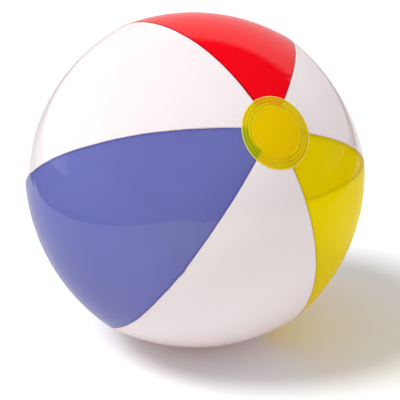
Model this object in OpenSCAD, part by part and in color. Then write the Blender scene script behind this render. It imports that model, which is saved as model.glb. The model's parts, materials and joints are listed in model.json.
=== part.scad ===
// Inflatable beach ball: six welded vinyl panels, two end caps and a push-in valve.
// The ball rests on the floor plane z = 0, and the valve points along +Y.

/* [Ball] */
// Length of a panel from pole to pole, measured flat
panel_length = 510; // [400:10:610]
// Radius of a panel's curve from seam to seam, as a multiple of its curve from pole to pole
seam_flatness = 1.15; // [1.08:0.01:1.2]
// Thickness of the vinyl sheet
wall = 0.35; // [0.3:0.05:0.5]
// Depth of the inside weld flap along each seam
weld_depth = 3; // [2:0.5:5]
// Distance from the pole axis to the straight cut end of each panel
tip_cut = 23; // [18:1:25]
// Half the width of the flat that the ball's weight presses on the floor
floor_flat_r = 24; // [18:1:30]

/* [Attitude] */
// Tilt of the pole axis from the vertical
pole_tilt = 56.5; // [40:0.5:65]
// Turn of the panels about the pole axis
panel_spin = -102.5; // [-108:0.5:-96]

/* [End caps] */
// Diameter of each end cap
cap_d = 66; // [60:1:80]
// Thickness of each end cap
cap_t = 0.35; // [0.3:0.05:0.5]
// Angle by which the front cap is welded off the pole
cap_lean = 1.8; // [0:0.1:2]
// Direction in which the front cap is off the pole, round the pole axis
cap_lean_heading = 150; // [0:5:355]
// Diameter of the round bead that makes a weld ring
ring_bead_d = 0.45; // [0.3:0.05:0.6]

/* [Valve] */
// Diameter of the hole in the panel
hole_d = 24; // [22:1:26]
// Outer diameter of the flange welded inside the panel
flange_d = 38; // [34:1:44]
// Thickness of the flange
flange_t = 0.6; // [0.5:0.1:1]
// Outer diameter of the stem
stem_d = 10; // [9.6:0.2:10.4]
// Diameter of the air passage
bore_d = 7; // [6.8:0.1:7.2]
// Length of the stem
stem_length = 15; // [14:0.5:17]
// Travel of the stem from pushed in to pulled out
stem_travel = 13; // [11:0.5:13]
// Diameter of the plug's head
plug_head_d = 11; // [10.5:0.1:11.4]
// Depth that the plug reaches into the air passage
plug_depth = 3.8; // [3:0.1:3.8]
// Diameter of the check flap
flap_d = 8.6; // [8:0.2:9]

/* [Hidden] */
$fn = 120;

panel_count = 6;
sector_angle = 360 / panel_count;
mid_r = panel_length / PI;
across_r = mid_r * seam_flatness;
reach = 2 * across_r;

// A panel's curve from seam to seam is made of narrow straight bands.
band_count = 16;
curve_end = 34;
centre_h = sqrt(mid_r * mid_r - floor_flat_r * floor_flat_r);

// The valve sits on the centreline of its panel, at the latitude where that line is level
// with the ball's centre. The ball is then turned so that the valve points along +Y.
valve_panel = 3;
valve_turn = (valve_panel + 0.5) * sector_angle + panel_spin;
valve_latitude = atan(tan(pole_tilt) * cos(valve_turn));
valve_level_x = cos(pole_tilt) * cos(valve_turn) * cos(valve_latitude) + sin(pole_tilt) * sin(valve_latitude);
valve_level_y = sin(valve_turn) * cos(valve_latitude);
pole_heading = 90 - atan2(valve_level_y, valve_level_x);

cap_r = cap_d / 2;
cap_rise = 0.2;
cap_crown_r = mid_r + cap_rise + cap_t;
// Radii of the raised weld rings, as shares of the cap's radius.
ring_shares = [0.69, 0.79, 0.88, 0.985];
ring_sink = 0.15;

// Valve heights are measured outwards along its axis from the panel's outer surface.
rim_z = -0.2;
stem_foot_z = rim_z - stem_length;
stem_r = stem_d / 2;
bore_r = bore_d / 2;
rim_r = stem_r + 0.6;
rim_height = 1.4;
// The skirt grips the stem half the travel below the flange, so it turns inside out evenly.
skirt_t = 0.5;
skirt_gap = 0.5;
skirt_grip = 1.5;
skirt_overlap = 1;
skirt_top_r = hole_d / 2 - skirt_overlap;
skirt_top_z = -wall - flange_t - skirt_gap;
skirt_grip_z = skirt_top_z - stem_travel / 2;
boot_gap = 0.05;
cut = 1;
hinge_gap = 0.1;
head_gap = 0.05;
head_t = 1.5;
head_r = plug_head_d / 2;
plug_gap = 0.08;
plug_taper = 1;
plug_top_r = bore_r - plug_gap;
plug_tip_r = bore_r - plug_taper;
hinge_y = 8.6;
hinge_z = 0.6;
knuckle_r = 0.8;
strap_width = 3;
strap_t = 0.9;
ear_width = 1;
lug_plate_t = 1.1;
lug_plate_gap = 0.5;
lug_root_y = bore_r + 0.5;
strap_root = 1;
flap_t = 0.5;
flap_gap = 0.05;
flap_tab = 0.3;
flap_hinge_y = flap_d / 2 + flap_tab;
flap_knuckle_r = 0.45;

// Solid that a panel's outer curve makes when it is turned about its cross axis (y).
module barrel(inset) {
    curve_r = across_r - inset;
    band_angle = 2 * curve_end / band_count;
    curve = [
        for (band = [0:band_count])
            let (angle = band * band_angle - curve_end)
                [mid_r - across_r + curve_r * cos(angle), curve_r * sin(angle)]
    ];
    end_y = curve_r * sin(curve_end);
    rotate([-90, 270, 0])
        rotate_extrude()
            polygon(concat([[0, -end_y]], curve, [[0, end_y]]));
}

// One sixth of space round the pole axis, moved in by inset from both seam planes.
module sector(inset) {
    start = inset / sin(sector_angle / 2);
    side = reach * tan(sector_angle / 2);
    translate([0, 0, -reach])
        linear_extrude(2 * reach)
            polygon([[start, 0], [start + reach, -side], [start + reach, side]]);
}

// Space above a height over the floor.
module above(height) {
    translate([-reach, -reach, height])
        cube(2 * reach);
}

// From the ball's own frame (pole along z) to its resting attitude.
module as_it_rests() {
    translate([0, 0, centre_h])
        rotate([0, pole_tilt, pole_heading])
            rotate([0, 0, panel_spin])
                children();
}

module in_sector(index) {
    as_it_rests()
        rotate([0, 0, (index + 0.5) * sector_angle])
            children();
}

// Outside of a panel, as a solid with its tips cut straight.
module panel_outside(index) {
    in_sector(index)
        intersection() {
            barrel(0);
            sector(0);
            translate([tip_cut, -reach, -reach])
                cube(2 * reach);
        }
}

// Hollow of a panel. It leaves the sheet and, along both seams, the weld flaps.
module panel_hollow(index) {
    in_sector(index)
        union() {
            intersection() {
                barrel(wall);
                sector(wall);
            }
            barrel(wall + weld_depth);
        }
}

module panel(index) {
    difference() {
        panel_outside(index);
        panel_hollow(index);
    }
}

module panel_blue() {
    color("royalblue") panel(0);
}

// The ball's weight flattens this panel where it meets the floor.
module panel_white_low() {
    color("white")
        difference() {
            intersection() {
                panel_outside(1);
                above(0);
            }
            intersection() {
                panel_hollow(1);
                above(wall);
            }
        }
}

module panel_yellow() {
    color("gold") panel(2);
}

module panel_white_valve() {
    color("white")
        difference() {
            panel(valve_panel);
            at_valve()
                cylinder(h = 2 * flange_d, d = hole_d, center = true);
        }
}

module panel_red() {
    color("red") panel(4);
}

module panel_white_high() {
    color("white") panel(5);
}

// The end caps lie over the panel tips, with raised weld rings.
module end_cap() {
    rotate_extrude() {
        intersection() {
            difference() {
                circle(cap_crown_r);
                circle(cap_crown_r - cap_t);
            }
            square([cap_r, reach]);
        }
        for (share = ring_shares) {
            ring_r = cap_r * share;
            translate([ring_r, sqrt(cap_crown_r * cap_crown_r - ring_r * ring_r) - ring_sink])
                circle(d = ring_bead_d, $fn = 24);
        }
    }
}

module end_cap_front() {
    color("gold", 0.6)
        as_it_rests()
            rotate([0, cap_lean, cap_lean_heading])
                end_cap();
}

module end_cap_rear() {
    color("gold", 0.6)
        as_it_rests()
            mirror([0, 0, 1])
                end_cap();
}

// From the valve's own frame (outwards along z) to its place on the ball.
module at_valve() {
    translate([0, mid_r, centre_h])
        rotate([-90, 0, 0])
            children();
}

module valve_flange() {
    color("whitesmoke")
        intersection() {
            in_sector(valve_panel)
                difference() {
                    barrel(wall);
                    barrel(wall + flange_t);
                }
            at_valve()
                difference() {
                    cylinder(h = 2 * flange_d, d = flange_d, center = true);
                    cylinder(h = 3 * flange_d, r = skirt_top_r, center = true);
                }
        }
}

// Thin skirt from the flange to the middle of the stem, which turns inside out as the stem moves.
module valve_boot() {
    foot_r = stem_r + boot_gap;
    color("whitesmoke", 0.8)
        at_valve()
            rotate_extrude()
                polygon([
                    [skirt_top_r, skirt_top_z],
                    [foot_r + skirt_t, skirt_grip_z],
                    [foot_r + skirt_t, skirt_grip_z - skirt_grip],
                    [foot_r, skirt_grip_z - skirt_grip],
                    [foot_r, skirt_grip_z + skirt_t],
                    [skirt_top_r - skirt_t, skirt_top_z]
                ]);
}

// Hinge ear or knuckle: a short round bar along x, centred on the hinge line.
module hinge_bar(from_x, width, radius) {
    translate([from_x, hinge_y, hinge_z])
        rotate([0, 90, 0])
            cylinder(h = width, r = radius);
}

module valve_stem() {
    ear_x = strap_width / 2 + hinge_gap;
    lug_width = 2 * (ear_x + ear_width);
    lug_top = hinge_z - knuckle_r - lug_plate_gap;
    color("whitesmoke")
        at_valve()
            difference() {
                union() {
                    translate([0, 0, stem_foot_z])
                        cylinder(h = stem_length, r = stem_r);
                    translate([0, 0, rim_z - rim_height])
                        cylinder(h = rim_height, r = rim_r);
                    translate([-lug_width / 2, lug_root_y, lug_top - lug_plate_t])
                        cube([lug_width, hinge_y + knuckle_r - lug_root_y, lug_plate_t]);
                    for (side = [-1, 1])
                        translate([side * (ear_x + ear_width / 2), 0, 0]) {
                            hinge_bar(-ear_width / 2, ear_width, knuckle_r);
                            translate([-ear_width / 2, hinge_y - knuckle_r, lug_top])
                                cube([ear_width, 2 * knuckle_r, hinge_z - lug_top]);
                        }
                }
                translate([0, 0, stem_foot_z - cut])
                    cylinder(h = stem_length + 2 * cut, r = bore_r);
            }
}

module valve_plug() {
    head_z = rim_z + head_gap;
    strap_y = head_r - strap_root;
    color("whitesmoke")
        at_valve() {
            translate([0, 0, head_z])
                cylinder(h = head_t, r = head_r);
            translate([0, 0, head_z - plug_depth])
                cylinder(h = plug_depth, r1 = plug_tip_r, r2 = plug_top_r);
            translate([-strap_width / 2, strap_y, hinge_z - strap_t / 2])
                cube([strap_width, hinge_y - strap_y, strap_t]);
            hinge_bar(-strap_width / 2, strap_width, knuckle_r);
        }
}

module check_flap() {
    flap_top = stem_foot_z - flap_gap;
    color("whitesmoke", 0.8)
        at_valve() {
            translate([0, 0, flap_top - flap_t])
                cylinder(h = flap_t, d = flap_d);
            translate([-strap_width / 2, -flap_hinge_y, flap_top - flap_t])
                cube([strap_width, flap_hinge_y, flap_t]);
            translate([-strap_width / 2, -flap_hinge_y, flap_top - flap_knuckle_r])
                rotate([0, 90, 0])
                    cylinder(h = strap_width, r = flap_knuckle_r);
        }
}

panel_blue();
panel_white_low();
panel_yellow();
panel_white_valve();
panel_red();
panel_white_high();
end_cap_front();
end_cap_rear();
valve_flange();
valve_boot();
valve_stem();
valve_plug();
check_flap();
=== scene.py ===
import json
import math

import bmesh
import bpy
import numpy as np
from mathutils import Matrix, Vector


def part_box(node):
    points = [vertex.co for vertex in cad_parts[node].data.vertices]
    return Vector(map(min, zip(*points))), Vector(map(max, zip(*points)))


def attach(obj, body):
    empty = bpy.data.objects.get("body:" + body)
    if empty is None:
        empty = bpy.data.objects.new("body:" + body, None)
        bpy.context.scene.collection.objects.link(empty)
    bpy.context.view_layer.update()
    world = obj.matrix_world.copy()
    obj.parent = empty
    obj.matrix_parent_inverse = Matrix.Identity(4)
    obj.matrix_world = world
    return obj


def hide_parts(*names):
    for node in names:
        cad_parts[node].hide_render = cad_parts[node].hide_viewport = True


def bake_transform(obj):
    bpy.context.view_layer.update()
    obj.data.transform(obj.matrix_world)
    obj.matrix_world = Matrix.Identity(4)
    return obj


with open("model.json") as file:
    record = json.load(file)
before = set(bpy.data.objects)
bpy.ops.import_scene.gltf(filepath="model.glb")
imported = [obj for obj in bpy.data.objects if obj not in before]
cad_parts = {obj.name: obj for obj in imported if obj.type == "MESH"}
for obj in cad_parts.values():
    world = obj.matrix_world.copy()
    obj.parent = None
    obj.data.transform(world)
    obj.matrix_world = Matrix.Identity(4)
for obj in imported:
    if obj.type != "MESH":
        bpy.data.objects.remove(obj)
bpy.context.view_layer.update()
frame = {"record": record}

MM = 0.001

# ---------------------------------------------------------------- the frame

PANELS = [
    "panel_blue", "panel_white_low", "panel_yellow", "panel_white_valve", "panel_red", "panel_white_high",
]
PANEL_SLOTS = ["vinyl_blue", "vinyl_white", "vinyl_yellow", "vinyl_white", "vinyl_red", "vinyl_white"]
VALVE_PANEL = 3
SECTOR = math.radians(60)


def box_centre(node):
    """Centre of a CAD node's box."""
    low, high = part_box(node)
    return (low + high) / 2


def mount_position(name):
    """Place of one of the record's mounts."""
    for mount in frame["record"]["mounts"]:
        if mount["name"] == name:
            return Vector(mount["pos_m"])


VALVE_RECESS = 0.2 * MM
mouth = mount_position("valve_mouth")
MID_R = mouth.y + VALVE_RECESS
CENTRE = Vector((0, 0, mouth.z))
POLE = (CENTRE - box_centre("end_cap_rear")).normalized()
FRONT_CAP_AXIS = (box_centre("end_cap_front") - CENTRE).normalized()
VALVE_AXIS = Vector((0, 1, 0))

# The ball's own axes: pole along z, and the valve on the centreline of its panel.
valve_side = (VALVE_AXIS - POLE * VALVE_AXIS.dot(POLE)).normalized()
ball_x = Matrix.Rotation(-(VALVE_PANEL + 0.5) * SECTOR, 3, POLE) @ valve_side
BALL_AXES = np.array([ball_x, POLE.cross(ball_x), POLE]).T

# ---------------------------------------------------------------- sizes

# A panel is flatter across than along: this is its radius across over its radius along.
SEAM_FLATNESS = 1.15
ACROSS_R = MID_R * SEAM_FLATNESS
TIP_CUT = 23 * MM
WALL = 0.35 * MM
WELD_DEPTH = 3 * MM
GROOVE_R = 0.8 * MM
FOLD_WIDTH = 1.3 * MM
SEAM_GAP = 0.03 * MM
CAP_R = 33 * MM
CAP_T = 0.35 * MM
CAP_CLEARANCE = 0.06 * MM
HOLE_R = 12 * MM

ROWS = 240
HALF_COLUMNS = 30
# The columns crowd towards the seam by this power.
CROWDING = 2.2
# Rounds of the fixed-point solutions below.
SOLVE_STEPS = 30
SKIN_STEPS = 12


def barrel_radius(y):
    """Distance of the skin from the panel's cross axis, at y across the panel."""
    return MID_R - ACROSS_R + np.sqrt(ACROSS_R ** 2 - y ** 2)


def seam_y(psi):
    """Half width of a panel where its centreline has turned psi from the equator."""
    y = np.full_like(psi, 0.5 * MID_R)
    for _ in range(SOLVE_STEPS):
        y = barrel_radius(y) * np.cos(psi) * math.tan(SECTOR / 2)
    return y


# ---------------------------------------------------------------- small wrinkles and wander of the seams

SEED = 7
CREASES = 46
LAST_CREASE = 1.42
CREASE_WIDTH = (1.6 * MM, 4.2 * MM)
CREASE_REACH = (5 * MM, 16 * MM)
CREASE_DEPTH = (0.04 * MM, 0.2 * MM)
# The seams' sideways wander: size, and waves along the seam per radian.
WANDER = ((0.35 * MM, 5), (0.25 * MM, 11), (0.08 * MM, 31))
# One seam steps sideways at a place where its weld was started.
JOG_SEAM = 1
JOG_PLACE = 0.73
JOG_LENGTH = 0.03
JOG_SIZE = 1.0 * MM
CAP_FOLDS = 34
CAP_FOLD_DEPTH = 0.4 * MM
CAP_FOLD_OFFSET = 2 * MM
CAP_FOLD_REACH = 9 * MM

rng = np.random.default_rng(SEED)


def bell(x):
    """1 at 0, falling smoothly to 0 beyond about 2."""
    return np.exp(-x ** 2)


def make_seam():
    """One seam's irregularities, as places along it (psi), widths and sizes."""
    return {
        "place": rng.uniform(-LAST_CREASE, LAST_CREASE, CREASES),
        "width": rng.uniform(*CREASE_WIDTH, CREASES) / MID_R,
        "reach": rng.uniform(*CREASE_REACH, CREASES),
        "depth": rng.uniform(*CREASE_DEPTH, CREASES),
        "wave": rng.uniform(0, 2 * math.pi, 4),
        "jog": 0,
    }


SEAMS = [make_seam() for _ in PANELS]
SEAMS[JOG_SEAM]["jog"] = JOG_SIZE


def seam_shift(seam, psi):
    """How far a seam wanders sideways, in metres."""
    shift = seam["jog"] * bell((psi - JOG_PLACE) / JOG_LENGTH)
    for (size, waves), phase in zip(WANDER, seam["wave"]):
        shift += size * np.sin(waves * psi + phase)
    return shift * np.cos(psi)


def pucker(seam, psi, distance):
    """Inward depth of the small creases that run off a seam, in metres."""
    depth = np.zeros(np.broadcast(psi, distance).shape)
    for k in range(len(seam["place"])):
        along = (psi - seam["place"][k]) / seam["width"][k]
        fade = np.exp(-distance / seam["reach"][k])
        depth += seam["depth"][k] * bell(along) * fade
    return depth


def cap_folds(seam, psi, r, y):
    """Inward depth of the fine folds that run out from under the caps, in metres."""
    from_pole = np.hypot(r * np.cos(psi), y)
    angle = np.arctan2(y, r * np.cos(psi))
    fold = np.clip(np.sin(CAP_FOLDS * angle + seam["wave"][3]), 0, 1) ** 2
    uneven = 0.55 + 0.45 * np.sin(9 * angle + seam["wave"][0])
    fade = bell((from_pole - CAP_R - CAP_FOLD_OFFSET) / CAP_FOLD_REACH)
    return CAP_FOLD_DEPTH * fold * uneven * fade


# ---------------------------------------------------------------- mesh helpers


def to_row(points):
    """From the ball's own frame to the row frame."""
    return points @ BALL_AXES.T + np.array(CENTRE)


def turned(points, angle):
    """Points turned about the pole."""
    c, s = math.cos(angle), math.sin(angle)
    x, y, z = points[..., 0], points[..., 1], points[..., 2]
    return np.stack([c * x - s * y, s * x + c * y, z], -1)


def new_object(name, vertices, faces, material, smooth=True):
    """A mesh object with one material."""
    mesh = bpy.data.meshes.new(name)
    mesh.from_pydata([tuple(v) for v in vertices], [], faces)
    mesh.validate()
    mesh.update()
    obj = bpy.data.objects.new(name, mesh)
    bpy.context.scene.collection.objects.link(obj)
    mesh.materials.append(material)
    if smooth:
        smooth_by_angle(mesh)
    return obj


def smooth_by_angle(mesh, degrees=50):
    """Smooth shading, with edges sharper than an angle left sharp."""
    mesh.polygons.foreach_set("use_smooth", [True] * len(mesh.polygons))
    mesh.set_sharp_from_angle(angle=math.radians(degrees))


def grid_faces(rows, columns, offset=0, flip=False, wrap=False):
    """Four-sided faces of a grid of points that start at an offset; a wrapped grid closes on itself."""
    faces = []
    last = columns if wrap else columns - 1
    for i in range(rows - 1):
        for j in range(last):
            k = (j + 1) % columns
            a, b = offset + i * columns + j, offset + i * columns + k
            c, d = offset + (i + 1) * columns + k, offset + (i + 1) * columns + j
            faces.append((a, d, c, b) if flip else (a, b, c, d))
    return faces


def grid_normals(points):
    """Unit normals of a grid of points, from its neighbours."""
    along = np.gradient(points, axis=0)
    across = np.gradient(points, axis=1)
    normals = np.cross(across, along)
    return normals / np.linalg.norm(normals, axis=-1, keepdims=True)


def closed_sheet(name, outer, inner, material, inside):
    """A closed shell between two grids of points that have the same layout."""
    rows, columns = outer.shape[:2]
    count = rows * columns
    vertices = np.concatenate([outer.reshape(-1, 3), inner.reshape(-1, 3)])
    faces = grid_faces(rows, columns) + grid_faces(rows, columns, count, flip=True)
    rim = [i * columns for i in range(rows)]
    rim += [(rows - 1) * columns + j for j in range(1, columns)]
    rim += [i * columns + columns - 1 for i in range(rows - 2, -1, -1)]
    rim += list(range(columns - 2, 0, -1))
    for k in range(len(rim)):
        a, b = rim[k], rim[(k + 1) % len(rim)]
        faces.append((b, a, a + count, b + count))
    sheet = new_object(name, vertices, faces, material)
    sheet.data.materials.append(inside)
    half = (rows - 1) * (columns - 1)
    for polygon in sheet.data.polygons[half:2 * half]:
        polygon.material_index = 1
    return sheet


# ---------------------------------------------------------------- materials


def node(tree, kind, **values):
    """A new shader node with its settings."""
    made = tree.nodes.new(kind)
    for key, value in values.items():
        setattr(made, key, value)
    return made


def vinyl(name, colour, deep, weld_and_highlight_colour, see_through=0.05, glow=0.4, tint=None, painted_glow_tint=None, roughness=0.04,
          specular=0.5):
    """Glossy soft vinyl sheet: coloured, a little cloudy, denser where it is folded or welded; on the caps
    the same mark is a painted pale highlight.

    glow is the share of scattered light that comes from behind, in the sheet's colour or in a glow colour
    given for it; the white's pink glow colour is painted light, standing for light reddened inside the ball.
    see_through is the share that passes straight, in the colour tint.
    """
    material = bpy.data.materials.new(name)
    material.use_nodes = True
    tree = material.node_tree
    tree.nodes.clear()
    link = tree.links.new
    place = node(tree, "ShaderNodeTexCoord")
    cloud = node(tree, "ShaderNodeTexNoise")
    cloud.inputs["Scale"].default_value = 9
    cloud.inputs["Detail"].default_value = 3
    link(place.outputs["Object"], cloud.inputs["Vector"])
    ramp = node(tree, "ShaderNodeValToRGB")
    ramp.color_ramp.elements[0].position = 0.3
    ramp.color_ramp.elements[0].color = (*deep, 1)
    ramp.color_ramp.elements[1].position = 0.7
    ramp.color_ramp.elements[1].color = (*colour, 1)
    link(cloud.outputs["Fac"], ramp.inputs["Fac"])
    # The fold attribute mixes in the third colour: darker where the panel sheet is welded double, and on the
    # caps a painted pale highlight along rim and crests.
    fold = node(tree, "ShaderNodeAttribute", attribute_name="fold")
    shade = node(tree, "ShaderNodeMix", data_type="RGBA")
    shade.inputs[7].default_value = (*weld_and_highlight_colour, 1)
    link(fold.outputs["Fac"], shade.inputs[0])
    link(ramp.outputs["Color"], shade.inputs[6])
    grain = node(tree, "ShaderNodeTexNoise")
    grain.inputs["Scale"].default_value = 260
    grain.inputs["Detail"].default_value = 2
    link(place.outputs["Object"], grain.inputs["Vector"])
    gloss = node(tree, "ShaderNodeMapRange")
    gloss.inputs["To Min"].default_value = roughness * 0.8
    gloss.inputs["To Max"].default_value = roughness * 1.3
    link(grain.outputs["Fac"], gloss.inputs["Value"])
    ripple = node(tree, "ShaderNodeTexNoise")
    ripple.inputs["Scale"].default_value = 22
    ripple.inputs["Detail"].default_value = 1
    link(place.outputs["Object"], ripple.inputs["Vector"])
    swell = node(tree, "ShaderNodeBump")
    swell.inputs["Strength"].default_value = 0.12
    swell.inputs["Distance"].default_value = 0.001
    link(ripple.outputs["Fac"], swell.inputs["Height"])
    bump = node(tree, "ShaderNodeBump")
    bump.inputs["Strength"].default_value = 0.04
    bump.inputs["Distance"].default_value = 0.0003
    link(grain.outputs["Fac"], bump.inputs["Height"])
    link(swell.outputs["Normal"], bump.inputs["Normal"])
    body = node(tree, "ShaderNodeBsdfPrincipled")
    body.inputs["IOR"].default_value = 1.53
    body.inputs["Specular IOR Level"].default_value = specular
    link(shade.outputs[2], body.inputs["Base Color"])
    link(gloss.outputs["Result"], body.inputs["Roughness"])
    link(bump.outputs["Normal"], body.inputs["Normal"])
    passing = node(tree, "ShaderNodeBsdfTranslucent")
    # A given glow colour replaces the sheet's own: on the white panels a painted pink tint, standing for
    # light reddened inside the ball by the red panel and floor.
    if painted_glow_tint:
        passing.inputs["Color"].default_value = (*painted_glow_tint, 1)
    else:
        link(shade.outputs[2], passing.inputs["Color"])
    clear = node(tree, "ShaderNodeBsdfTransparent")
    clear.inputs["Color"].default_value = (*(tint or colour), 1)
    soft = node(tree, "ShaderNodeMixShader")
    soft.inputs["Fac"].default_value = glow
    link(body.outputs["BSDF"], soft.inputs[1])
    link(passing.outputs["BSDF"], soft.inputs[2])
    thickness = node(tree, "ShaderNodeMapRange")
    thickness.inputs["To Min"].default_value = see_through
    thickness.inputs["To Max"].default_value = see_through * 0.2
    link(fold.outputs["Fac"], thickness.inputs["Value"])
    thin = node(tree, "ShaderNodeMixShader")
    link(thickness.outputs["Result"], thin.inputs["Fac"])
    link(soft.outputs["Shader"], thin.inputs[1])
    link(clear.outputs["BSDF"], thin.inputs[2])
    out = node(tree, "ShaderNodeOutputMaterial")
    link(thin.outputs["Shader"], out.inputs["Surface"])
    return material


def inside_face(name):
    """The inner face of the sheet: clear, with a faint gloss, because the outer face carries the colour."""
    material = bpy.data.materials.new(name)
    material.use_nodes = True
    tree = material.node_tree
    tree.nodes.clear()
    place = node(tree, "ShaderNodeTexCoord")
    cloud = node(tree, "ShaderNodeTexNoise")
    cloud.inputs["Scale"].default_value = 40
    tree.links.new(place.outputs["Object"], cloud.inputs["Vector"])
    haze = node(tree, "ShaderNodeMapRange")
    haze.inputs["To Min"].default_value = 0.9
    haze.inputs["To Max"].default_value = 0.98
    tree.links.new(cloud.outputs["Fac"], haze.inputs["Value"])
    gloss = node(tree, "ShaderNodeBsdfPrincipled")
    gloss.inputs["Base Color"].default_value = (0.85, 0.85, 0.88, 1)
    gloss.inputs["Roughness"].default_value = 0.2
    clear = node(tree, "ShaderNodeBsdfTransparent")
    mix = node(tree, "ShaderNodeMixShader")
    tree.links.new(haze.outputs["Result"], mix.inputs["Fac"])
    tree.links.new(gloss.outputs["BSDF"], mix.inputs[1])
    tree.links.new(clear.outputs["BSDF"], mix.inputs[2])
    out = node(tree, "ShaderNodeOutputMaterial")
    tree.links.new(mix.outputs["Shader"], out.inputs["Surface"])
    return material


def frosted_face(name):
    """The matt middle of a cap's underside, which hides what is far behind it."""
    material = bpy.data.materials.new(name)
    material.use_nodes = True
    tree = material.node_tree
    tree.nodes.clear()
    place = node(tree, "ShaderNodeTexCoord")
    cloud = node(tree, "ShaderNodeTexNoise")
    cloud.inputs["Scale"].default_value = 60
    tree.links.new(place.outputs["Object"], cloud.inputs["Vector"])
    ramp = node(tree, "ShaderNodeValToRGB")
    ramp.color_ramp.elements[0].color = (0.94, 0.94, 0.92, 1)
    ramp.color_ramp.elements[1].color = (0.98, 0.98, 0.97, 1)
    tree.links.new(cloud.outputs["Fac"], ramp.inputs["Fac"])
    matt = node(tree, "ShaderNodeBsdfPrincipled")
    matt.inputs["Roughness"].default_value = 0.6
    matt.inputs["Specular IOR Level"].default_value = 0.1
    tree.links.new(ramp.outputs["Color"], matt.inputs["Base Color"])
    passing = node(tree, "ShaderNodeBsdfTranslucent")
    tree.links.new(ramp.outputs["Color"], passing.inputs["Color"])
    mix = node(tree, "ShaderNodeMixShader")
    mix.inputs["Fac"].default_value = 0.25
    tree.links.new(matt.outputs["BSDF"], mix.inputs[1])
    tree.links.new(passing.outputs["BSDF"], mix.inputs[2])
    out = node(tree, "ShaderNodeOutputMaterial")
    tree.links.new(mix.outputs["Shader"], out.inputs["Surface"])
    return material


MATERIALS = {
    "vinyl_blue": vinyl("vinyl_blue", (0.172, 0.20, 0.57), (0.157, 0.18, 0.53), (0.06, 0.07, 0.33),
                        see_through=0.08),
    "vinyl_red": vinyl("vinyl_red", (1.0, 0.002, 0.012), (0.98, 0.002, 0.009), (0.5, 0.0, 0.01),
                       see_through=0.08, glow=0.4),
    "vinyl_yellow": vinyl("vinyl_yellow", (1.0, 0.88, 0.0), (0.96, 0.84, 0.0), (0.62, 0.48, 0.0),
                          see_through=0.4, glow=0.55, tint=(0.98, 0.92, 0.0), specular=0.1),
    # The white's glow colour is a painted pink tint, standing for light reddened inside the ball by the red
    # panel and floor.
    "vinyl_white": vinyl("vinyl_white", (0.94, 0.95, 0.97), (0.92, 0.93, 0.95), (0.90, 0.88, 0.91),
                         see_through=0.03, glow=0.37, tint=(0.98, 0.95, 0.97), painted_glow_tint=(0.98, 0.91, 0.94),
                         specular=0.4),
    # The cap's third colour is a pale yellow painted highlight along its rim and ring crests.
    "cap_vinyl": vinyl("cap_vinyl", (0.78, 1.0, 0.0), (0.74, 0.97, 0.0), (1.0, 0.95, 0.35), see_through=0.55,
                       glow=0.3, tint=(1.0, 0.44, 0.0), roughness=0.04, specular=0.7),
    "valve_vinyl": vinyl("valve_vinyl", (0.9, 0.9, 0.92), (0.86, 0.87, 0.9), (0.8, 0.8, 0.84),
                         see_through=0.25, tint=(0.93, 0.93, 0.95), roughness=0.2),
    "inside": inside_face("inside"),
    "frosted": frosted_face("frosted"),
}


# ---------------------------------------------------------------- panels

# The skin turns down into its weld flap through these angles, and the flap has these rows.
ROLL_TURNS = (20, 40, 60, 78, 90)
FLAP_SHARES = (0.2, 0.6, 1.0)
SEAM_WANDER_REACH = 30 * MM
SETTLE_SOFTNESS = 0.25 * MM


def column_distance(share, half_width):
    """Distance of a column of the skin from the seam. The columns lie close together near the seam."""
    return GROOVE_R + (half_width - GROOVE_R) * share ** CROWDING


def column_turns(across_share):
    """How far the rows turn from the equator in a column, so that the panel's tips end in round arcs."""
    tip = math.acos(TIP_CUT / math.sqrt(1 + (across_share * math.tan(SECTOR / 2)) ** 2) / MID_R)
    return np.linspace(-tip, tip, ROWS)


def fold_amount(distance):
    """How much the weld behind the sheet darkens it, at a distance from the seam."""
    return bell(distance / FOLD_WIDTH)


def half_sheet(side, seam):
    """Skin from the panel's centreline to one seam, then down the weld flap: local points and weights."""
    columns = []
    for share in np.linspace(1, 0, HALF_COLUMNS)[:-1]:
        psi = column_turns(1 - share ** CROWDING)
        half_width = seam_y(psi)
        distance = column_distance(share, half_width)
        columns.append((psi, half_width - distance, np.zeros_like(psi), distance))
    psi = column_turns(1)
    half_width = seam_y(psi)
    for turn in ROLL_TURNS:
        a = math.radians(turn)
        across = half_width - SEAM_GAP - GROOVE_R * (1 - math.sin(a))
        depth = np.full_like(psi, GROOVE_R * (1 - math.cos(a)))
        columns.append((psi, across, depth, half_width - across))
    for share in FLAP_SHARES:
        across = half_width - SEAM_GAP
        depth = np.full_like(psi, GROOVE_R + WELD_DEPTH * share)
        columns.append((psi, across, depth, half_width - across))
    points = []
    for psi, across, depth, distance in columns:
        toward_seam = bell(distance / SEAM_WANDER_REACH)
        y = side * across + seam_shift(seam, psi) * toward_seam
        # The flap lies in the seam plane, so going deeper brings it nearer the centreline.
        fold = depth * math.sin(SECTOR / 2)
        r = barrel_radius(y) - pucker(seam, psi, distance)
        r = r - cap_folds(seam, psi, r, y)
        y = y - side * fold
        r = r - depth * math.cos(SECTOR / 2)
        points.append(np.stack([r * np.cos(psi), y, r * np.sin(psi), fold_amount(distance)], -1))
    return np.stack(points, 1)


def panel_sheet(index):
    """A panel's outer surface with both weld flaps, in the panel's own frame."""
    right = half_sheet(1, SEAMS[(index + 1) % len(PANELS)])
    left = half_sheet(-1, SEAMS[index])
    return np.concatenate([left[:, ::-1][:, :-1], right], 1)


def settle_on_floor(points, height=0.0):
    """Presses the skin flat where it would go below a height over the floor, with a soft edge."""
    z = points[..., 2] - height
    points[..., 2] = height + SETTLE_SOFTNESS * np.logaddexp(0, z / SETTLE_SOFTNESS)
    return points


def mark_welds_and_highlights(sheet, amounts):
    """Stores at each point a value from 0 to 1 for its material: how folded or welded the sheet is there, or
    on a cap how strong its painted highlight is.
    """
    layer = sheet.data.attributes.new("fold", "FLOAT", "POINT")
    layer.data.foreach_set("value", amounts.astype(np.float32))


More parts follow.
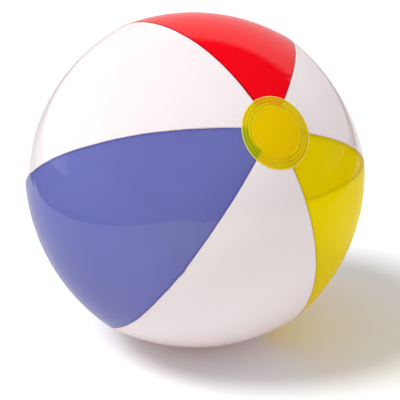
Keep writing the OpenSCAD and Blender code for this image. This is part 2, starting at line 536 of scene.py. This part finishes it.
def build_panel(index):
    """One panel as a closed sheet, with the valve's hole where it has one."""
    name = PANELS[index]
    local = panel_sheet(index)
    fold = local[..., 3]
    outer = to_row(turned(local[..., :3], (index + 0.5) * SECTOR))
    normals = grid_normals(outer)
    inner = outer - normals * WALL
    outer = settle_on_floor(outer)
    inner = settle_on_floor(inner, WALL)
    slot = PANEL_SLOTS[index]
    title = name.replace("panel_", "panel_sheet_")
    panel = closed_sheet(title, outer, inner, MATERIALS[slot], MATERIALS["inside"])
    mark_welds_and_highlights(panel, np.concatenate([fold.ravel(), fold.ravel()]))
    if index == VALVE_PANEL:
        cut_out(panel, bored_through(HOLE_R))
    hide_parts(name)
    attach(panel, "ball")


# ---------------------------------------------------------------- end caps

# Places across the caps are shares of the cap's radius.
CAP_RINGS = [0.69, 0.79, 0.88]
CAP_SEGMENTS = 144
RING_HEIGHT = 0.25 * MM
RING_WIDTH = 0.018
# Painted highlight: the rim and the ring crests are painted paler; these set its widths and strength.
CREST_WIDTH = 0.011
CREST_PAINTED_HIGHLIGHT = 0.14
RIM_PAINTED_HIGHLIGHT_WIDTH = 0.022
TROUGH_DEPTH = 0.06 * MM
TROUGH_OFFSET = 0.04
TROUGH_WIDTH = 0.02
RIM_BEAD_PLACE = 0.975
RIM_BEAD_HEIGHT = 0.25 * MM
RIM_BEAD_WIDTH = 0.018
DOME_HEIGHT = 0.2 * MM
DOME_EDGE = 0.66
# How much of the relief on the cap's upper side its underside follows.
UNDER_RELIEF = 0.8


def skin_distance(direction):
    """Distance from the ball's centre to the skin along unit directions in the ball's own frame."""
    azimuth = np.arctan2(direction[..., 1], direction[..., 0])
    sector = np.floor(azimuth / SECTOR) + 0.5
    angle = -sector * SECTOR
    x = direction[..., 0] * np.cos(angle) - direction[..., 1] * np.sin(angle)
    y = direction[..., 0] * np.sin(angle) + direction[..., 1] * np.cos(angle)
    z = direction[..., 2]
    distance = np.full_like(x, MID_R)
    for _ in range(SOLVE_STEPS):
        distance = barrel_radius(distance * y) / np.sqrt(x ** 2 + z ** 2)
    return distance


def cap_height(r):
    """Height of the cap's upper side over the skin, at r from its centre."""
    share = r / CAP_R
    height = DOME_HEIGHT * np.clip(1 - (share / DOME_EDGE) ** 2, 0, 1) ** 2
    for ring in CAP_RINGS:
        height += RING_HEIGHT * bell((share - ring) / RING_WIDTH)
        height -= TROUGH_DEPTH * bell((share - ring - TROUGH_OFFSET) / TROUGH_WIDTH)
    height += RIM_BEAD_HEIGHT * bell((share - RIM_BEAD_PLACE) / RIM_BEAD_WIDTH)
    return height


def build_cap(name, node_name, axis):
    """A cap: a disc on the skin round an axis, clear over the panel tips and matt in the middle."""
    segments = CAP_SEGMENTS
    share = np.concatenate([np.linspace(0.01, 0.62, 30), np.linspace(0.63, 0.997, 84), [1.0]])
    r = CAP_R * share
    around = np.linspace(0, 2 * math.pi, segments, endpoint=False)
    axis_local = np.array(axis) @ BALL_AXES
    side = np.cross(axis_local, [0.0, 1.0, 0.0])
    side /= np.linalg.norm(side)
    other = np.cross(axis_local, side)
    lean = r / MID_R
    outward = np.cos(around)[:, None] * side + np.sin(around)[:, None] * other
    direction = np.cos(lean)[:, None, None] * axis_local + np.sin(lean)[:, None, None] * outward
    base = skin_distance(direction) + CAP_CLEARANCE
    under = base + cap_height(r)[:, None] * UNDER_RELIEF
    over = base + cap_height(r)[:, None] + CAP_T
    over[-1] = (over[-1] + under[-1]) / 2
    under[-1] = over[-1]
    top = to_row(direction * over[..., None])
    bottom = to_row(direction * under[..., None])
    rows = len(r)
    count = rows * segments
    centres = [top[0].mean(0), bottom[0].mean(0)]
    vertices = np.concatenate([top.reshape(-1, 3), bottom.reshape(-1, 3), centres])
    faces = grid_faces(rows, segments, 0, flip=True, wrap=True)
    faces += grid_faces(rows, segments, count, wrap=True)
    for j in range(segments):
        k = (j + 1) % segments
        faces.append((2 * count, j, k))
        faces.append((2 * count + 1, count + k, count + j))
        a, b = (rows - 1) * segments + j, (rows - 1) * segments + k
        faces.append((b, a, a + count, b + count))
    cap = new_object(name, vertices, faces, MATERIALS["cap_vinyl"])
    cap.data.materials.append(MATERIALS["inside"])
    cap.data.materials.append(MATERIALS["frosted"])
    middle = int(np.sum(r < TIP_CUT)) * segments
    for polygon in cap.data.polygons:
        if min(polygon.vertices) >= count:
            polygon.material_index = 2 if min(polygon.vertices) < count + middle else 1
    # Painted highlight: the rim and the ring crests get the cap's pale third colour, standing in for glints
    # on the ridges.
    crests = sum(bell((share - ring) / CREST_WIDTH) for ring in CAP_RINGS)
    shade = np.repeat(bell((1 - share) / RIM_PAINTED_HIGHLIGHT_WIDTH) + CREST_PAINTED_HIGHLIGHT * crests, segments)
    mark_welds_and_highlights(cap, np.concatenate([shade, shade, [0, 0]]))
    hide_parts(node_name)
    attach(cap, "ball")


# ---------------------------------------------------------------- valve

# Valve heights are measured outwards along its axis from the panel's outer surface.
SEGMENTS = 96
ROD_SEGMENTS = 40
# Points closer than this are one point.
MERGE = 0.0005 * MM
STEM_R = 5 * MM
BORE_R = 3.5 * MM
RIM_R = 5.6 * MM
RIM_Z = -0.2 * MM
RIM_HEIGHT = 1.4 * MM
FLANGE_T = 0.6 * MM
FLANGE_R = 19 * MM
BOOT_TOP_R = 11 * MM
BOOT_T = 0.5 * MM
HINGE_Y = 8.6 * MM
HINGE_Z = 0.6 * MM
STRAP_WIDTH = 3 * MM
EAR_WIDTH = 1 * MM
EAR_GAP = 0.1 * MM
EAR_R = 0.8 * MM
PLUG_R = 5.5 * MM
PLUG_T = 1.5 * MM
PLUG_DEPTH = 3.8 * MM
# Corner roundings of the valve's pieces.
FINE_ROUND = 0.15 * MM
SOFT_ROUND = 0.25 * MM
# The weld ring: how far it stands over the panel, and its three ridges.
RING_POINTS = 60
RING_FOOT = 0.02 * MM
RING_UNDER = 0.005 * MM
RING_RISE = 0.14 * MM
RIDGE_HEIGHT = 0.16 * MM
RIDGE_COUNT = 3
RING_EDGE = 0.06
# The skirt: its sag, the length that grips the stem, and the collar sunk into the flange.
BOOT_POINTS = 40
BOOT_BOW = 0.7 * MM
BOOT_GRIP = 1.5 * MM
COLLAR_OUT = 0.6 * MM
COLLAR_UP = 0.3 * MM
# The lug and the ears under the strap's hinge.
LUG_DROP = 0.5 * MM
LUG_THICKNESS = 1.1 * MM
POST_OVERLAP = 0.2 * MM
# The strap, which is thinner and narrower at its hinge.
STRAP_POINTS = 40
STRAP_HALF_THICKNESS = 0.4 * MM
NECK_LENGTH = 0.7 * MM
NECK_THINNING = 0.2 * MM
NECK_NARROWING = 0.25 * MM
FLAP_THICKNESS = 0.5 * MM


def valve_box(node_name):
    """A valve node's extent along the valve's axis and below it, in the valve's own frame."""
    low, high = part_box(node_name)
    return low.y - MID_R, high.y - MID_R


def at_valve(points):
    """From the valve's own frame (outwards along z) to the row frame."""
    points = np.asarray(points, dtype=float)
    return np.stack([points[..., 0], MID_R + points[..., 2], CENTRE.z - points[..., 1]], -1)


def valve_point(x, y, z):
    """One point from the valve's own frame to the row frame."""
    return tuple(at_valve((x, y, z)))


def skin_height(x, y):
    """Height of the panel's outer surface beside the valve's axis, in the valve's own frame."""
    z = np.zeros_like(x)
    for _ in range(SKIN_STEPS):
        row = np.stack([x, MID_R + z, -y], -1)
        direction = row / np.linalg.norm(row, axis=-1, keepdims=True)
        distance = skin_distance(direction @ BALL_AXES)
        z = np.sqrt(distance ** 2 - x ** 2 - y ** 2) - MID_R
    return z


def rounded(corners, radius, steps=4):
    """A closed outline with each corner rounded."""
    outline = []
    count = len(corners)
    for k in range(count):
        before, here, after = (np.array(corners[(k + i) % count], dtype=float) for i in (-1, 0, 1))
        reach = min(radius, np.linalg.norm(before - here) * 0.45, np.linalg.norm(after - here) * 0.45)
        start = here + (before - here) / np.linalg.norm(before - here) * reach
        end = here + (after - here) / np.linalg.norm(after - here) * reach
        for t in np.linspace(0, 1, steps + 1):
            outline.append(start * (1 - t) ** 2 + here * 2 * t * (1 - t) + end * t ** 2)
    return np.array(outline)


def tidy(mesh):
    """Merges points that coincide and turns every face outwards."""
    form = bmesh.new()
    form.from_mesh(mesh)
    bmesh.ops.remove_doubles(form, verts=form.verts, dist=MERGE)
    bmesh.ops.dissolve_degenerate(form, edges=form.edges, dist=MERGE)
    bmesh.ops.recalc_face_normals(form, faces=form.faces)
    form.to_mesh(mesh)
    form.free()
    smooth_by_angle(mesh)


def turned_ring(name, outline, material, on_skin=False):
    """A closed outline of (radius, height) turned about the valve's axis."""
    around = np.linspace(0, 2 * math.pi, SEGMENTS, endpoint=False)
    radius = outline[:, 0][:, None] * np.ones(SEGMENTS)
    x = radius * np.cos(around)
    y = radius * np.sin(around)
    z = outline[:, 1][:, None] * np.ones(SEGMENTS)
    if on_skin:
        z = z + skin_height(x, y)
    points = at_valve(np.stack([x, y, z], -1))
    closed = np.concatenate([points, points[:1]])
    faces = grid_faces(len(closed), SEGMENTS, wrap=True)
    ring = new_object(name, closed.reshape(-1, 3), faces, material)
    tidy(ring.data)
    return ring


def block(name, low, high, radius, material):
    """A box in the valve's own frame, with every edge rounded."""
    form = bmesh.new()
    bmesh.ops.create_cube(form, size=1)
    low = np.array(low)
    high = np.array(high)
    for vertex in form.verts:
        local = (low + high) / 2 + np.array(vertex.co) * (high - low)
        vertex.co = valve_point(*local)
    bmesh.ops.bevel(form, geom=form.edges[:], offset=radius, segments=3, profile=0.5, affect="EDGES")
    mesh = bpy.data.meshes.new(name)
    form.to_mesh(mesh)
    form.free()
    obj = bpy.data.objects.new(name, mesh)
    bpy.context.scene.collection.objects.link(obj)
    mesh.materials.append(material)
    tidy(mesh)
    return obj


def hinge_rod(name, from_x, width, y, z, radius, material):
    """A short round bar along x with rounded ends."""
    outline = rounded([(0, 0), (radius, 0), (radius, width), (0, width)], radius * 0.3)
    around = np.linspace(0, 2 * math.pi, ROD_SEGMENTS, endpoint=False)
    length = outline[:, 1][:, None] * np.ones(ROD_SEGMENTS)
    reach = outline[:, 0][:, None]
    across = y + reach * np.cos(around)
    height = z + reach * np.sin(around)
    points = at_valve(np.stack([from_x + length, across, height], -1))
    closed = np.concatenate([points, points[:1]])
    rod = new_object(name, closed.reshape(-1, 3), grid_faces(len(closed), ROD_SEGMENTS, wrap=True), material)
    tidy(rod.data)
    return rod


def boolean(piece, tool, operation):
    """Cuts or joins a piece with a tool, and removes the tool."""
    change = piece.modifiers.new("change", "BOOLEAN")
    change.operation = operation
    change.solver = "EXACT"
    change.object = tool
    graph = bpy.context.evaluated_depsgraph_get()
    result = bpy.data.meshes.new_from_object(piece.evaluated_get(graph))
    piece.modifiers.remove(change)
    old = piece.data
    name = old.name
    piece.data = result
    bpy.data.meshes.remove(old)
    result.name = name
    bpy.data.objects.remove(tool)
    smooth_by_angle(piece.data)


def cut_out(piece, tool):
    """Cuts a tool's shape out of a piece."""
    boolean(piece, tool, "DIFFERENCE")


def bored_through(radius):
    """A tool that cuts a round hole through the sheet, along the valve's axis."""
    reach = 10 * MM
    outline = np.array([(0, -reach), (radius, -reach), (radius, reach), (0, reach)])
    return turned_ring("hole_tool", outline, MATERIALS["valve_vinyl"])


def finish_piece(piece, node_name, body):
    """Hides the CAD node that a valve piece stands for, and attaches the piece to its body unless it is
    blended over two.
    """
    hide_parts(node_name)
    if body:
        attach(piece, body)


def build_weld_ring():
    """The round weld that holds the flange, pressed into the outside of the valve panel."""
    inner, outer = HOLE_R, FLANGE_R
    radii = np.linspace(inner, outer, RING_POINTS)
    share = (radii - inner) / (outer - inner)
    ridges = RIDGE_HEIGHT * (0.5 - 0.5 * np.cos(share * 2 * RIDGE_COUNT * math.pi))
    edge = np.clip(np.minimum(share, 1 - share) / RING_EDGE, 0, 1)
    over = RING_FOOT + (RING_RISE + ridges) * np.sqrt(edge)
    under = np.full_like(radii, RING_UNDER)
    outline = np.concatenate([np.stack([radii, over], -1), np.stack([radii, under], -1)[::-1]])
    ring = turned_ring("valve_weld_ring", outline, MATERIALS["vinyl_white"], on_skin=True)
    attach(ring, "ball")


def build_flange():
    """The flange under the panel, thinner at its outer edge."""
    top = -WALL - 0.03 * MM
    edge = top - FLANGE_T * 0.6
    corners = [(BOOT_TOP_R, top), (FLANGE_R, top), (FLANGE_R, edge), (BOOT_TOP_R, top - FLANGE_T)]
    flange = turned_ring("flange_ring", rounded(corners, 0.2 * MM), MATERIALS["valve_vinyl"], on_skin=True)
    finish_piece(flange, "valve_flange", "ball")


def build_boot():
    """Thin skirt from the flange to the stem, sagging a little between them."""
    low, high = valve_box("valve_boot")
    grip = low + BOOT_GRIP
    share = np.linspace(0, 1, BOOT_POINTS)
    bow = BOOT_BOW * np.sin(share * math.pi)
    radius = BOOT_TOP_R + (STEM_R + 0.1 * MM + BOOT_T - BOOT_TOP_R) * share
    height = high + (grip - high) * share - bow
    outside = np.stack([radius, height], -1)
    # The skirt's upper end is sunk into the flange.
    collar = (BOOT_TOP_R + COLLAR_OUT, high + COLLAR_UP)
    outside = np.concatenate([[collar], outside, [(radius[-1], low)]])
    inside = outside - [BOOT_T * 0.8, 0]
    outline = np.concatenate([outside, inside[::-1]])
    boot = turned_ring("boot_skirt", outline, MATERIALS["valve_vinyl"])
    finish_piece(boot, "valve_boot", None)
    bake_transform(boot)


def build_stem():
    """The air tube, with its lip and the lug and ears that hold the strap's hinge."""
    low, _ = valve_box("valve_stem")
    corners = [
        (BORE_R, RIM_Z), (RIM_R, RIM_Z), (RIM_R, RIM_Z - RIM_HEIGHT), (STEM_R, RIM_Z - RIM_HEIGHT),
        (STEM_R, low), (BORE_R, low),
    ]
    vinyl_look = MATERIALS["valve_vinyl"]
    stem = turned_ring("stem_tube", rounded(corners, SOFT_ROUND), vinyl_look)
    ear_x = STRAP_WIDTH / 2 + EAR_GAP
    lug_x = ear_x + EAR_WIDTH
    lug_top = HINGE_Z - EAR_R - LUG_DROP
    root = BORE_R + 0.5 * MM
    far = HINGE_Y + EAR_R
    lug_start = (-lug_x, root, lug_top - LUG_THICKNESS)
    lug = block("lug", lug_start, (lug_x, far, lug_top), SOFT_ROUND, vinyl_look)
    boolean(stem, lug, "UNION")
    for side in (-1, 1):
        start = min(side * ear_x, side * lug_x)
        low_corner = (start, HINGE_Y - EAR_R, lug_top - POST_OVERLAP)
        high_corner = (start + EAR_WIDTH, HINGE_Y + EAR_R, HINGE_Z)
        boolean(stem, block("post", low_corner, high_corner, FINE_ROUND, vinyl_look), "UNION")
        boolean(stem, hinge_rod("ear", start, EAR_WIDTH, HINGE_Y, HINGE_Z, EAR_R, vinyl_look), "UNION")
    finish_piece(stem, "valve_stem", "stem")


def build_plug():
    """The stopper, with a finger dish in its head."""
    head = RIM_Z + 0.05 * MM
    top = head + PLUG_T
    tip = head - PLUG_DEPTH
    corners = [
        (0, top - 0.5 * MM), (PLUG_R - 1.6 * MM, top - 0.4 * MM), (PLUG_R - 1.0 * MM, top), (PLUG_R, top),
        (PLUG_R, head), (BORE_R - 0.08 * MM, head), (BORE_R - 1.0 * MM, tip), (0, tip),
    ]
    plug = turned_ring("plug_stopper", rounded(corners, SOFT_ROUND), MATERIALS["valve_vinyl"])
    finish_piece(plug, "valve_plug", "plug")


def build_strap():
    """The film that ties the plug to the stem, thinner and narrower at the hinge line."""
    near = PLUG_R - 1.0 * MM
    far = HINGE_Y + 0.5 * MM
    steps = STRAP_POINTS
    along = np.linspace(near, far, steps)
    neck = bell((along - HINGE_Y) / NECK_LENGTH)
    thick = STRAP_HALF_THICKNESS - NECK_THINNING * neck
    half = STRAP_WIDTH / 2 - NECK_NARROWING * neck
    section = rounded([(-1, -1), (1, -1), (1, 1), (-1, 1)], 0.4)
    x = half[:, None] * section[:, 0]
    z = HINGE_Z + thick[:, None] * section[:, 1]
    y = along[:, None] * np.ones(len(section))
    points = at_valve(np.stack([x, y, z], -1))
    count = len(section)
    faces = grid_faces(steps, count, wrap=True)
    faces += [tuple(range(count)), tuple(range((steps - 1) * count, steps * count))]
    strap = new_object("plug_strap", points.reshape(-1, 3), faces, MATERIALS["valve_vinyl"])
    tidy(strap.data)
    finish_piece(strap, "valve_plug", None)
    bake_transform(strap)


def build_flap():
    """The check flap, a soft disc under the stem with a tab to its hinge."""
    low, high = valve_box("check_flap")
    low_box, high_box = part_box("check_flap")
    radius = (high_box.x - low_box.x) / 2
    tab_y = CENTRE.z - high_box.z
    thick = FLAP_THICKNESS
    corners = [(0, high), (radius, high), (radius, high - thick), (0, high - thick)]
    vinyl_look = MATERIALS["valve_vinyl"]
    flap = turned_ring("flap_disc", rounded(corners, FINE_ROUND), vinyl_look)
    half = STRAP_WIDTH / 2
    knuckle = (high - low) / 2
    root = (-half, tab_y + knuckle, high - thick)
    tab = block("tab", root, (half, -radius * 0.8, high), 0.1 * MM, vinyl_look)
    boolean(flap, tab, "UNION")
    rod = hinge_rod("rod", -half, 2 * half, tab_y + knuckle, (high + low) / 2, knuckle, vinyl_look)
    boolean(flap, rod, "UNION")
    finish_piece(flap, "check_flap", "flap")


for panel_index in range(len(PANELS)):
    build_panel(panel_index)
build_cap("cap_disc_front", "end_cap_front", FRONT_CAP_AXIS)
build_cap("cap_disc_rear", "end_cap_rear", -POLE)
build_weld_ring()
build_flange()
build_boot()
build_stem()
build_plug()
build_strap()
build_flap()

# ---------------------------------------------------------------- studio


CAMERA_AZIMUTH = math.radians(31.6)
CAMERA_ELEVATION = math.radians(20)
CAMERA_DISTANCE = 1.032
CAMERA_LENS = 94.7
SENSOR_WIDTH = 36
FAR_CLIP = 50
# Where the camera looks, beside and below the ball's centre as it sees it.
LOOK_RIGHT = 4.0 * MM
LOOK_DOWN = 19.3 * MM

toward = Vector((
    math.sin(CAMERA_AZIMUTH) * math.cos(CAMERA_ELEVATION),
    -math.cos(CAMERA_AZIMUTH) * math.cos(CAMERA_ELEVATION),
    math.sin(CAMERA_ELEVATION),
))
right = Vector((math.cos(CAMERA_AZIMUTH), math.sin(CAMERA_AZIMUTH), 0))
up = toward.cross(right)
front = Vector((math.sin(CAMERA_AZIMUTH), -math.cos(CAMERA_AZIMUTH), 0))

FLOOR_HALF = 6.0
# The top of the white backdrop behind the ball, in degrees over the horizon, as reflections see it.
BACKDROP_TOP = 52
SKY_STRENGTH = 0.59
# Where the white table ends, from the ball's centre: left, right and towards the camera.
TABLE_LEFT = 0.6
TABLE_RIGHT = 0.92
TABLE_FRONT = 2.6
EDGE_SOFTNESS = 0.01
ROOM = (0.03, 0.05, 0.06)


def build_floor():
    """White paper. Reflections see it end a short way in front of the ball, where the room is darker."""
    material = bpy.data.materials.new("floor_paper")
    material.use_nodes = True
    tree = material.node_tree
    link = tree.links.new
    body = tree.nodes["Principled BSDF"]
    body.inputs["Roughness"].default_value = 0.7
    body.inputs["Specular IOR Level"].default_value = 0.1
    paper = node(tree, "ShaderNodeTexNoise")
    paper.inputs["Scale"].default_value = 30
    ramp = node(tree, "ShaderNodeValToRGB")
    ramp.color_ramp.elements[0].color = (0.86, 0.86, 0.87, 1)
    ramp.color_ramp.elements[1].color = (0.88, 0.88, 0.89, 1)
    link(paper.outputs["Fac"], ramp.inputs["Fac"])
    link(ramp.outputs["Color"], body.inputs["Base Color"])
    off_table = None
    place = node(tree, "ShaderNodeTexCoord")
    for direction, reach in ((-right, TABLE_LEFT), (right, TABLE_RIGHT), (front, TABLE_FRONT)):
        along = node(tree, "ShaderNodeVectorMath", operation="DOT_PRODUCT")
        along.inputs[1].default_value = direction
        link(place.outputs["Object"], along.inputs[0])
        edge = node(tree, "ShaderNodeMapRange")
        edge.inputs["From Min"].default_value = reach - EDGE_SOFTNESS
        edge.inputs["From Max"].default_value = reach + EDGE_SOFTNESS
        link(along.outputs["Value"], edge.inputs["Value"])
        if off_table:
            larger = node(tree, "ShaderNodeMath", operation="MAXIMUM")
            link(off_table, larger.inputs[0])
            link(edge.outputs["Result"], larger.inputs[1])
            off_table = larger.outputs["Value"]
        else:
            off_table = edge.outputs["Result"]
    path = node(tree, "ShaderNodeLightPath")
    beyond = node(tree, "ShaderNodeMath", operation="MULTIPLY")
    link(off_table, beyond.inputs[0])
    link(path.outputs["Is Glossy Ray"], beyond.inputs[1])
    dark = node(tree, "ShaderNodeEmission")
    dark.inputs["Color"].default_value = (*ROOM, 1)
    mix = node(tree, "ShaderNodeMixShader")
    link(beyond.outputs["Value"], mix.inputs["Fac"])
    link(body.outputs["BSDF"], mix.inputs[1])
    link(dark.outputs["Emission"], mix.inputs[2])
    link(mix.outputs["Shader"], tree.nodes["Material Output"].inputs["Surface"])
    half = FLOOR_HALF
    corners = [(-half, -half, 0), (half, -half, 0), (half, half, 0), (-half, half, 0)]
    floor = new_object("floor", corners, [(0, 1, 2, 3)], material, smooth=False)


def build_world():
    """White all round to the eye. Reflections see a white backdrop behind and a darker room in front."""
    world = bpy.data.worlds.new("studio")
    bpy.context.scene.world = world
    world.use_nodes = True
    tree = world.node_tree
    tree.nodes.clear()
    link = tree.links.new
    place = node(tree, "ShaderNodeTexCoord")
    behind = node(tree, "ShaderNodeVectorMath", operation="DOT_PRODUCT")
    lift = math.radians(90 - BACKDROP_TOP)
    behind.inputs[1].default_value = (
        -math.sin(CAMERA_AZIMUTH) * math.cos(lift),
        math.cos(CAMERA_AZIMUTH) * math.cos(lift),
        -math.sin(lift),
    )
    link(place.outputs["Generated"], behind.inputs[0])
    edge = node(tree, "ShaderNodeMapRange")
    edge.inputs["From Min"].default_value = -0.05
    edge.inputs["From Max"].default_value = 0.05
    link(behind.outputs["Value"], edge.inputs["Value"])
    walls = node(tree, "ShaderNodeMix", data_type="RGBA")
    walls.inputs[6].default_value = (*ROOM, 1)
    walls.inputs[7].default_value = (1, 1, 1, 1)
    link(edge.outputs["Result"], walls.inputs[0])
    room = node(tree, "ShaderNodeBackground")
    link(walls.outputs[2], room.inputs["Color"])
    soft = node(tree, "ShaderNodeBackground")
    soft.inputs["Color"].default_value = (0.97, 0.98, 1.0, 1)
    soft.inputs["Strength"].default_value = SKY_STRENGTH
    white = node(tree, "ShaderNodeBackground")
    path = node(tree, "ShaderNodeLightPath")
    white.inputs["Color"].default_value = (1, 1, 1, 1)
    glossy = node(tree, "ShaderNodeMixShader")
    link(path.outputs["Is Glossy Ray"], glossy.inputs["Fac"])
    link(soft.outputs["Background"], glossy.inputs[1])
    link(room.outputs["Background"], glossy.inputs[2])
    mix = node(tree, "ShaderNodeMixShader")
    link(path.outputs["Is Camera Ray"], mix.inputs["Fac"])
    link(glossy.outputs["Shader"], mix.inputs[1])
    link(white.outputs["Background"], mix.inputs[2])
    out = node(tree, "ShaderNodeOutputWorld")
    link(mix.outputs["Shader"], out.inputs["Surface"])


def build_camera():
    """The camera, at the photo's viewing angle."""
    data = bpy.data.cameras.new("camera")
    data.lens = CAMERA_LENS
    data.sensor_width = SENSOR_WIDTH
    data.clip_end = FAR_CLIP
    camera = bpy.data.objects.new("camera", data)
    bpy.context.scene.collection.objects.link(camera)
    camera.location = CENTRE + toward * CAMERA_DISTANCE
    target = CENTRE + right * LOOK_RIGHT - up * LOOK_DOWN
    camera.rotation_euler = (target - camera.location).to_track_quat("-Z", "Y").to_euler()
    bpy.context.scene.camera = camera


def soft_sun(name, azimuth, elevation, spread, strength):
    """A broad, far lamp. Azimuth is counted from the camera's side, to the right."""
    data = bpy.data.lights.new(name, "SUN")
    data.energy = strength
    data.angle = math.radians(spread)
    lamp = bpy.data.objects.new(name, data)
    bpy.context.scene.collection.objects.link(lamp)
    heading = CAMERA_AZIMUTH + math.radians(azimuth)
    lift = math.radians(elevation)
    level = math.cos(lift)
    offset = Vector((math.sin(heading) * level, -math.cos(heading) * level, math.sin(lift)))
    lamp.rotation_euler = (-offset).to_track_quat("-Z", "Y").to_euler()
    lamp.visible_glossy = False


build_floor()
build_world()
build_camera()
soft_sun("key", -72, 55, 24, 2.95)
soft_sun("fill", 110, 50, 60, 0.25)
bpy.context.scene.view_settings.view_transform = "Standard"
